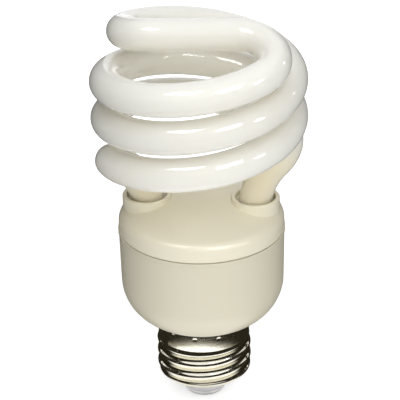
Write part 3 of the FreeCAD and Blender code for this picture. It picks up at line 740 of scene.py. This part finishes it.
@dataclass
class ThreadedShell:
    """The cap's rolled shell: right-hand round thread and staked band. Millimetres and degrees."""

    band_radius: float = 12.65
    wall: float = 0.4
    pitch: float = 3.629
    depth: float = 0.38
    crest_height: float = 11.47
    thread_low: tuple[float, float] = (7.5, 8.7)
    thread_high: tuple[float, float] = (17.3, 18.7)
    rim_bore: float = 10.6
    rim_bend: float = 2.3
    rim_drop: float = 1.5
    row_height: float = 0.17
    columns: int = 320
    punch_count: int = 12
    punch_height: float = 22.5
    punch_radius: float = 0.45
    punch_depth: float = 0.12
    punch_first: float = 264.5
    punch_round: float = 1.5
    rim_rows: int = 9
    merge_gap: float = 0.001

    def thread_share(self, height: float) -> float:
        """How much of the thread's depth there is at a height: none at its run-outs.

        Args:
            height: Height above the contact's face.

        Returns:
            A share between 0 and 1.
        """

        def smooth(low: float, high: float) -> float:
            """Smooth step from low to high."""
            share = min(1, max(0, (height - low) / (high - low)))
            return share * share * (3 - 2 * share)

        return smooth(*self.thread_low) * (1 - smooth(*self.thread_high))

    def punch_dent(self, angle: float, height: float) -> float:
        """Depth of the staking punches at a place on the band.

        Args:
            angle: Direction round the axis, in degrees.
            height: Height above the contact's face.

        Returns:
            The depth.
        """
        pitch = 360 / self.punch_count
        off = (angle - self.punch_first + pitch / 2) % pitch - pitch / 2
        across = math.radians(off) * self.band_radius
        away = math.hypot(across, height - self.punch_height) / self.punch_radius
        return self.punch_depth * max(0, 1 - away * away) ** self.punch_round

    def section(self, low: float, high: float) -> list[Vector]:
        """Half section of the sheet: up the outside in fine rows, down the inside in long ones.

        Args:
            low: Lowest height of the shell.
            high: Top of the shell.

        Returns:
            The section's corners.
        """
        foot = low + self.rim_drop
        chord = Vector((self.band_radius - self.rim_bore, self.rim_drop))
        lift = math.sqrt(self.rim_bend**2 - (chord.length / 2) ** 2)
        centre = Vector((self.rim_bore, low)) + chord / 2 + Vector((-chord.y, chord.x)).normalized() * lift
        first = math.atan2(low - centre.y, self.rim_bore - centre.x)
        last = math.atan2(foot - centre.y, self.band_radius - centre.x)
        corners = []
        for index in range(self.rim_rows):
            angle = first + (last - first) * index / self.rim_rows
            across = centre.x + self.rim_bend * math.cos(angle)
            corners.append((across, centre.y + self.rim_bend * math.sin(angle)))
        rows = round((high - foot) / self.row_height)
        corners += [(self.band_radius, foot + (high - foot) * index / rows) for index in range(rows + 1)]
        inside = self.band_radius - self.wall
        thread_inside = inside - self.depth
        corners += [(inside, high), (inside, self.thread_high[1]), (thread_inside, self.thread_high[0])]
        corners += [(thread_inside, foot), (self.rim_bore, low + self.wall)]
        return [Vector((across, 0, up)) for across, up in corners]

    def build(self, material: bpy.types.Material) -> bpy.types.Object:
        """Spins the section, then rolls the thread and stakes the band.

        Args:
            material: The shell's finish.

        Returns:
            The shell.
        """
        low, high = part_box("screw_shell")
        mesh = bmesh.new()
        corners = [mesh.verts.new(corner * MM) for corner in self.section(low.z / MM, high.z / MM)]
        edges = [mesh.edges.new(pair) for pair in zip(corners, corners[1:] + corners[:1])]
        bmesh.ops.spin(
            mesh,
            geom=corners + edges,
            cent=Vector(),
            axis=Axis.Z.value,
            angle=2 * math.pi,
            steps=self.columns,
            use_merge=True,
            use_duplicate=False,
        )
        bmesh.ops.remove_doubles(mesh, verts=mesh.verts, dist=self.merge_gap * MM)
        bmesh.ops.recalc_face_normals(mesh, faces=mesh.faces)
        outside = (self.band_radius - self.wall / 4) * MM
        for point in mesh.verts:
            radius = math.hypot(point.co.x, point.co.y)
            if radius < outside:
                continue
            height = point.co.z / MM
            turn = math.atan2(point.co.y, point.co.x)
            wave = math.cos(2 * math.pi * (height - self.crest_height) / self.pitch - turn)
            shift = self.depth * wave * self.thread_share(height)
            shift -= self.punch_dent(math.degrees(turn) % 360, height)
            point.co.xy *= 1 + shift * MM / radius
        return finished_piece("threaded_shell", mesh, "screw_shell", material)


class Dressing:
    """Sub-assembly whose solids are shown as they are, with finishes of their own."""

    def dress(self, finish: Finish, *nodes: str) -> None:
        """Puts one finish on several solids.

        Args:
            finish: The finish.
            nodes: Names of the solids.
        """
        material = finish.make()
        for node in nodes:
            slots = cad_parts[node].data.materials
            slots.clear()
            slots.append(material)
            LOG.info("%s: %s", node, material.name)


@dataclass
class Housing(Dressing):
    """The moulded holder and housing, and the cement in the collars."""

    # painted light and shade: one cream plastic, painted lighter on the holder, whose crown lies in the
    # coil's shadow, and darker on the housing, whose wall takes the front light
    holder: Finish = MouldedPlastic("holder_cream_painted_light", (0.885, 0.836, 0.673), (0.87, 0.818, 0.653))
    cup: Finish = MouldedPlastic("housing_cream_painted_shade", (0.74, 0.697, 0.552), (0.725, 0.68, 0.536))
    cement: Finish = Grained("collar_cement", (0.70, 0.66, 0.55), (0.55, 0.51, 0.41), (0.80, 0.93), 900)

    def build(self) -> None:
        """Dresses the moulded pieces."""
        self.dress(self.holder, "tube_holder")
        self.dress(self.cup, "ballast_housing")
        self.dress(self.cement, "tube_cement")


@dataclass
class CapEnd(Dressing):
    """Insulator and centre contact under the shell."""

    glass: Finish = Grained(
        "insulator_pale_glass", (0.70, 0.69, 0.71), (0.64, 0.63, 0.65), (0.15, 0.28), 700, relief=0.00003
    )
    # painted shade darkens the contact's lower edge
    contact: Finish = Tinned(
        "contact_tin", (0.80, 0.79, 0.78), (0.68, 0.67, 0.66), (0.37, 0.57), 520, shade_below=0.0013
    )

    def build(self) -> None:
        """Dresses the cap's end."""
        self.dress(self.glass, "cap_insulator")
        self.dress(self.contact, "centre_contact")


@dataclass
class Ballast(Dressing):
    """The circuit inside the housing."""

    laminate: Finish = Grained("board_laminate", (0.50, 0.36, 0.16), (0.40, 0.27, 0.11), (0.45, 0.58), 900)
    wire: Finish = Tinned("tinned_wire", (0.74, 0.73, 0.71), (0.60, 0.59, 0.57))
    ferrite: Finish = Grained("ferrite_grey", (0.055, 0.055, 0.06), (0.03, 0.03, 0.033), (0.55, 0.68), 1500)
    spool: Finish = Grained("spool_black", (0.03, 0.03, 0.03), (0.02, 0.02, 0.02), (0.40, 0.53), 800)
    copper: Finish = WoundWire()
    can: Finish = Grained("can_dark_sleeve", (0.02, 0.025, 0.05), (0.012, 0.015, 0.03), (0.25, 0.38), 300)
    dip: Finish = Grained(
        "dipped_red", (0.33, 0.055, 0.025), (0.25, 0.035, 0.018), (0.20, 0.33), 350, relief=0.0001
    )
    case: Finish = Grained("case_black", (0.018, 0.018, 0.019), (0.012, 0.012, 0.012), (0.50, 0.63), 1800)
    coating: Finish = Grained(
        "resistor_grey_green", (0.17, 0.24, 0.22), (0.12, 0.18, 0.165), (0.55, 0.68), 1200
    )
    weave: Finish = Grained(
        "woven_sleeve", (0.72, 0.68, 0.58), (0.55, 0.51, 0.42), (0.80, 0.93), 2600, relief=0.0001
    )

    def build(self) -> None:
        """Dresses the board and what it carries."""
        self.dress(self.laminate, "ballast_board")
        self.dress(self.wire, "wrap_pins", "tube_wires", "shell_wire")
        self.dress(self.ferrite, "choke_core", "drive_ring", "filter_drum")
        self.dress(self.spool, "choke_spool")
        self.dress(self.copper, "choke_winding", "filter_winding", "drive_winding")
        self.dress(self.can, "smoothing_capacitor")
        self.dress(self.dip, "resonance_capacitor", "blocking_capacitor")
        self.dress(self.case, "switching_transistors", "rectifier_diodes")
        self.dress(self.coating, "fusible_resistor")
        self.dress(self.weave, "resistor_sleeve")


def stage_piece(name: str, mesh_maker: bmesh.types.BMesh, material: bpy.types.Material) -> bpy.types.Object:
    """Makes an object of the studio that isn't part of the lamp.

    Args:
        name: The object's name.
        mesh_maker: The mesh, with its place in its points; it is freed.
        material: The object's finish.

    Returns:
        The new object.
    """
    mesh = bpy.data.meshes.new(name)
    mesh_maker.to_mesh(mesh)
    mesh_maker.free()
    mesh.materials.append(material)
    piece = bpy.data.objects.new(name, mesh)
    bpy.context.scene.collection.objects.link(piece)
    return piece


class Seen(Enum):
    """What sees a studio object that the camera doesn't."""

    IN_GLOSS = "reflections"
    IN_SHADE = "soft light"
    IN_BOTH = "reflections and soft light"


def hide_from_camera(piece: bpy.types.Object, seen: Seen) -> None:
    """Hides a studio object from the camera and from the rays that aren't to see it.

    Args:
        piece: The object.
        seen: What still sees the object.
    """
    piece.visible_camera = False
    piece.visible_glossy = seen is not Seen.IN_SHADE
    piece.visible_diffuse = seen is not Seen.IN_GLOSS
    piece.visible_transmission = False
    piece.visible_shadow = False


@dataclass(frozen=True)
class SoftBox:
    """One soft light that faces the lamp's middle. Metres, degrees and watts.

    With a sheen it has a bright face that gloss shows.
    """

    name: str
    azimuth: float
    elevation: float
    distance: float
    size: tuple[float, float]
    power: float
    sheen: float = 0.0

    def pose(self, target: Vector) -> Matrix:
        """Where the lamp hangs.

        Args:
            target: The point that it faces; azimuth 0 is in front and 90 on the right.

        Returns:
            The lamp's place and turn.
        """
        turn = math.radians(self.azimuth)
        lift = math.radians(self.elevation)
        away = Vector((math.sin(turn) * math.cos(lift), -math.cos(turn) * math.cos(lift), math.sin(lift)))
        return Matrix.LocRotScale(target + away * self.distance, (-away).to_track_quat("-Z", "Y"), None)

    def place(self, target: Vector) -> None:
        """Hangs the lamp and its face.

        Args:
            target: The point that it faces.
        """
        light = bpy.data.lights.new(self.name, "AREA")
        light.shape = "RECTANGLE"
        light.size, light.size_y = self.size
        light.energy = self.power
        lamp = bpy.data.objects.new(self.name, light)
        lamp.matrix_world = self.pose(target)
        lamp.visible_glossy = False
        bpy.context.scene.collection.objects.link(lamp)
        if self.sheen:
            self.place_face(target)
        LOG.info("%s: %.2f W", self.name, self.power)

    def place_face(self, target: Vector) -> None:
        """Hangs the bright face that shows in gloss.

        Args:
            target: The point that it faces.
        """
        mesh = bmesh.new()
        bmesh.ops.create_grid(mesh, x_segments=1, y_segments=1, size=0.5)
        bmesh.ops.scale(mesh, verts=mesh.verts, vec=Vector((*self.size, 1)))
        bmesh.ops.transform(mesh, verts=mesh.verts, matrix=self.pose(target))
        shading = Shading(f"{self.name}_face")
        glow = shading.add("ShaderNodeEmission")
        glow.inputs["Strength"].default_value = self.sheen
        shading.link(glow.outputs["Emission"], shading.tree.nodes["Material Output"].inputs["Surface"])
        hide_from_camera(stage_piece(f"{self.name}_face", mesh, shading.material), Seen.IN_GLOSS)


@dataclass
class Viewpoint:
    """The photograph's camera, worked out from the lamp's outline. Degrees, millimetres and pixels."""

    elevation: float = 31.5
    distance: float = 678.0
    lean: float = -1.11
    turn: float = -5.35
    focal_pixels: float = 2388.0
    frame_pixels: float = 400.0
    origin_right: float = 5.35
    origin_below: float = 186.4
    sensor: float = 36.0
    near: float = 0.01

    def place(self) -> None:
        """Makes the camera and hands it to the scene."""
        lift = math.radians(self.elevation)
        away = Vector((0, -math.cos(lift), math.sin(lift)))
        up = Vector((0, math.sin(lift), math.cos(lift)))
        aim = -away * self.focal_pixels - Axis.X.value * self.origin_right + up * self.origin_below
        rotation = aim.to_track_quat("-Z", "Y").to_matrix()
        lean = Matrix.Rotation(math.radians(self.lean), 3, "Y")
        upright = (lean @ Matrix.Rotation(math.radians(self.turn), 3, "Z")).inverted()
        settings = bpy.data.cameras.new("camera")
        settings.sensor_width = self.sensor
        settings.lens = self.focal_pixels / self.frame_pixels * self.sensor
        settings.clip_start = self.near
        camera = bpy.data.objects.new("camera", settings)
        stand = upright @ away * self.distance * MM
        camera.matrix_world = Matrix.LocRotScale(stand, upright @ rotation, None)
        bpy.context.scene.collection.objects.link(camera)
        bpy.context.scene.camera = camera


@dataclass(frozen=True)
class Cove:
    """Curved card round the lamp that the camera doesn't see. Metres and degrees.

    The profile gives distances from the axis and heights. A fade turns the tone white over that angle at
    both ends. A slant cuts the card with a sloping plane and keeps what is below it, or above.
    """

    name: str
    middle: float
    sweep: float
    profile: Profile
    seen: Seen = Seen.IN_GLOSS
    fade: float = 0.0
    ahead: float = 0.0
    lift: float = 0.00005
    slant: float = 0.0
    slant_toward: float = 0.0
    slant_from: float = 0.012
    above: bool = False
    steps: int = 24
    tone: Colour = (0.024, 0.02, 0.013)

    def finish(self) -> bpy.types.Material:
        """Gives the card its own tone, which no light changes.

        Returns:
            The material.
        """
        shading = Shading(self.name)
        glow = shading.add("ShaderNodeEmission")
        glow.inputs["Color"].default_value = (*self.tone, 1)
        shading.link(glow.outputs["Emission"], shading.tree.nodes["Material Output"].inputs["Surface"])
        shading.material.cycles.emission_sampling = "NONE"
        if not self.fade:
            return shading.material
        turned = shading.add("ShaderNodeMapping")
        turned.inputs["Rotation"].default_value = (0, 0, math.radians(90 - self.middle))
        shading.link(shading.place, turned.inputs["Vector"])
        radial = shading.add("ShaderNodeTexGradient", gradient_type="RADIAL")
        shading.link(turned.outputs["Vector"], radial.inputs["Vector"])
        off = shading.add("ShaderNodeMath", operation="SUBTRACT")
        off.inputs[1].default_value = 0.5
        shading.link(radial.outputs["Fac"], off.inputs[0])
        away = shading.add("ShaderNodeMath", operation="ABSOLUTE")
        shading.link(off.outputs[0], away.inputs[0])
        end = self.sweep / 2 / 360
        share = shading.remap(away.outputs[0], end - self.fade / 360, end, 0, 1)
        shading.link(shading.mixed(share, self.tone, WHITE), glow.inputs["Color"])
        return shading.material


# Profiles of the cards that the cap's metal shows, of the rings below the bowl and of the shades.
BESIDE: Profile = ((0.014, 0), (0.5, 0))
SIDE_WALL: Profile = ((0.5, 0), (0.5, 0.3))
SIDE_CARD: Profile = ((0.35, 0.02), (0.35, 0.47))
FRONT_EDGE: Profile = ((0.039, 0), (0.0415, 0))
BEFORE: Profile = ((0.0415, 0), (0.9, 0))
FRONT_WALL: Profile = ((0.9, 0), (0.9, 0.45))
BEHIND: Profile = ((0.105, 0), (0.5, 0))
BACK_CARD: Profile = ((0.34, 0.02), (0.34, 0.32))
NEAR_RING: Profile = ((0.022, 0), (0.036, 0))
WIDE_RING: Profile = ((0.036, 0), (0.08, 0))
SHADE: Profile = ((0.3, 0), (0.3, 0.36))
GREY: Colour = (0.3, 0.28, 0.22)
RING_GLOSS: Colour = (1.2, 1.2, 1.2)
RING_GLOW: Colour = (1.1, 1.1, 1.1)
LEFT_SLANT = {"slant": 31, "slant_toward": -27}
RIGHT_SLANT = {"slant": 31, "slant_toward": 37}
CARD_CUT = {"fade": 30, "tone": GREY, "slant_from": 0.023, "above": True}
FRONT_SHIFT = {"ahead": 0.0086, "lift": 0.0001}

# Name, middle and sweep round the axis, profile, and what sees the card.
COVES = (
    Cove("cove_left", -112, 106, BESIDE, fade=24),
    Cove("cove_right", 121, 108, BESIDE, fade=24),
    Cove("wall_left", -113.5, 103, SIDE_WALL, **LEFT_SLANT),
    Cove("wall_right", 123.5, 103, SIDE_WALL, **RIGHT_SLANT),
    Cove("bounce", 5, 150, NEAR_RING, Seen.IN_BOTH, ahead=0.006, tone=RING_GLOSS),
    Cove("cove_front", 5, 204, BEFORE, **FRONT_SHIFT),
    Cove("edge_front", 5, 204, FRONT_EDGE, tone=GREY, **FRONT_SHIFT),
    Cove("wall_front", 5, 134, FRONT_WALL),
    Cove("cove_back_left", -155, 44, BEHIND, lift=0.0001),
    Cove("cove_back_right", 155, 44, BEHIND, lift=0.0001),
    Cove("card_left", -97, 104, SIDE_CARD, **LEFT_SLANT, **CARD_CUT),
    Cove("card_right", 104, 96, SIDE_CARD, **RIGHT_SLANT, **CARD_CUT),
    Cove("card_back_left", -139, 48, BACK_CARD),
    Cove("card_back_right", 144, 48, BACK_CARD),
    Cove("glow_low", 5, 240, WIDE_RING, Seen.IN_SHADE, tone=RING_GLOW),
    Cove("shade_left", -95, 110, SHADE, Seen.IN_SHADE),
    Cove("shade_right", 100, 84, SHADE, Seen.IN_SHADE),
)
# Name, azimuth, elevation, distance, face, and power.
LIGHTS = (
    SoftBox("softbox_left", -37, 61, 0.75, (0.34, 0.21), 0.3, sheen=13),
    SoftBox("softbox_front", 31, 42, 0.75, (0.3, 0.24), 0.2, sheen=15),
    SoftBox("softbox_right", 63, 28, 0.345, (0.058, 0.07), 0.02, sheen=13),
    SoftBox("softbox_far_right", 114.5, 26, 0.32, (0.03, 0.035), 0.01, sheen=6),
    SoftBox("overhead", 0, 86, 0.8, (0.45, 0.45), 0.8),
    SoftBox("fill_front", 15, 31, 1.0, (0.6, 0.45), 1.45),
    SoftBox("fill_low", 28, 7, 0.9, (0.5, 0.2), 0.75),
)


@dataclass
class Studio:
    """Pale floor, white surroundings, soft lights, cards and the camera."""

    floor_radius: float = 3.0
    floor_segments: int = 96
    floor_drop: float = 0.00005
    floor_colour: Colour = (0.86, 0.86, 0.86)
    floor_roughness: float = 0.9
    floor_lift: float = 0.58
    floor_gloss: float = 0.45
    ambient: float = 0.82
    coves: tuple[Cove, ...] = COVES
    lights: tuple[SoftBox, ...] = LIGHTS

    def seen_as_is(self, tree: bpy.types.NodeTree) -> bpy.types.NodeSocket:
        """A factor that is 1 for the rays that see the surroundings as they are, and 0 for the rest.

        Args:
            tree: The node tree to add to.

        Returns:
            The factor.
        """
        path = tree.nodes.new("ShaderNodeLightPath")
        factor = path.outputs[Rays.CAMERA.value]
        for rays in (Rays.GLOSSY, Rays.TRANSMISSION):
            either = tree.nodes.new("ShaderNodeMath")
            either.operation = "MAXIMUM"
            tree.links.new(factor, either.inputs[0])
            tree.links.new(path.outputs[rays.value], either.inputs[1])
            factor = either.outputs[0]
        return factor

    def build_world(self) -> None:
        """White surroundings that light the lamp at a plain level."""
        world = bpy.data.worlds.new("surroundings")
        world.use_nodes = True
        tree = world.node_tree
        soft = tree.nodes["Background"]
        soft.inputs["Color"].default_value = (*WHITE, 1)
        soft.inputs["Strength"].default_value = self.ambient
        white = tree.nodes.new("ShaderNodeBackground")
        white.inputs["Color"].default_value = (*WHITE, 1)
        white.inputs["Strength"].default_value = 1.0
        mix = tree.nodes.new("ShaderNodeMixShader")
        tree.links.new(self.seen_as_is(tree), mix.inputs["Fac"])
        tree.links.new(soft.outputs["Background"], mix.inputs[1])
        tree.links.new(white.outputs["Background"], mix.inputs[2])
        tree.links.new(mix.outputs["Shader"], tree.nodes["World Output"].inputs["Surface"])
        bpy.context.scene.world = world

    def build_floor(self) -> None:
        """Pale round floor under the contact; it keeps the lamp's shadow."""
        mesh = bmesh.new()
        bmesh.ops.create_circle(mesh, cap_ends=True, segments=self.floor_segments, radius=self.floor_radius)
        bmesh.ops.translate(mesh, verts=mesh.verts, vec=-Axis.Z.value * self.floor_drop)
        material = bpy.data.materials.new("floor_pale")
        material.use_nodes = True
        tree = material.node_tree
        surface = tree.nodes["Principled BSDF"]
        surface.inputs["Base Color"].default_value = (*self.floor_colour, 1)
        surface.inputs["Roughness"].default_value = self.floor_roughness
        surface.inputs["Specular IOR Level"].default_value = 0.0
        path = tree.nodes.new("ShaderNodeLightPath")
        strength = None
        lifts = {
            Rays.CAMERA: self.floor_lift,
            Rays.GLOSSY: self.floor_gloss,
            Rays.TRANSMISSION: self.floor_gloss,
        }
        for rays, lift in lifts.items():
            share = tree.nodes.new("ShaderNodeMath")
            share.operation = "MULTIPLY_ADD"
            share.inputs[1].default_value = lift
            share.inputs[2].default_value = 0
            tree.links.new(path.outputs[rays.value], share.inputs[0])
            if strength:
                tree.links.new(strength, share.inputs[2])
            strength = share.outputs[0]
        tree.links.new(strength, surface.inputs["Emission Strength"])
        surface.inputs["Emission Color"].default_value = (*WHITE, 1)
        stage_piece("floor", mesh, material)

    def build_cove(self, cove: Cove) -> None:
        """Hangs a curved card that bright metal shows, or that holds back or adds to the soft light.

        Args:
            cove: The card.
        """
        mesh = bmesh.new()
        points = [mesh.verts.new((across, 0, up)) for across, up in cove.profile]
        edges = [mesh.edges.new(pair) for pair in zip(points, points[1:])]
        first = math.radians(cove.middle - cove.sweep / 2 - 90)
        bmesh.ops.rotate(mesh, verts=points, matrix=Matrix.Rotation(first, 3, "Z"))
        bmesh.ops.spin(
            mesh,
            geom=points + edges,
            cent=Vector(),
            axis=Axis.Z.value,
            angle=math.radians(cove.sweep),
            steps=cove.steps,
            use_merge=False,
            use_duplicate=False,
        )
        bmesh.ops.translate(mesh, verts=mesh.verts, vec=(0, -cove.ahead, cove.lift))
        if cove.slant:
            rise = math.tan(math.radians(cove.slant))
            toward = math.radians(cove.slant_toward)
            bmesh.ops.bisect_plane(
                mesh,
                geom=[*mesh.verts, *mesh.edges, *mesh.faces],
                plane_co=Axis.Z.value * cove.slant_from,
                plane_no=Vector((-rise * math.sin(toward), rise * math.cos(toward), 1)),
                clear_outer=not cove.above,
                clear_inner=cove.above,
            )
        hide_from_camera(stage_piece(cove.name, mesh, cove.finish()), cove.seen)
        LOG.info("%s: for %s", cove.name, cove.seen.value)

    def build(self) -> None:
        """Sets up everything round the lamp."""
        bpy.context.scene.view_settings.view_transform = "Standard"
        self.build_world()
        self.build_floor()
        for cove in self.coves:
            self.build_cove(cove)
        low, high = CAD_BOX
        target = (low + high) / 2
        for light in self.lights:
            light.place(target)
        Viewpoint().place()


def main() -> None:
    """Builds the lamp's pieces in order, then the studio round it."""
    logging.basicConfig(level=logging.INFO, format="%(name)s: %(message)s")
    CoiledTube().build(CoatedGlass().make())
    ThreadedShell().build(NickelPlate().make())
    for part in (Housing(), CapEnd(), Ballast()):
        part.build()
    Studio().build()


if __name__ == "__main__":
    main()
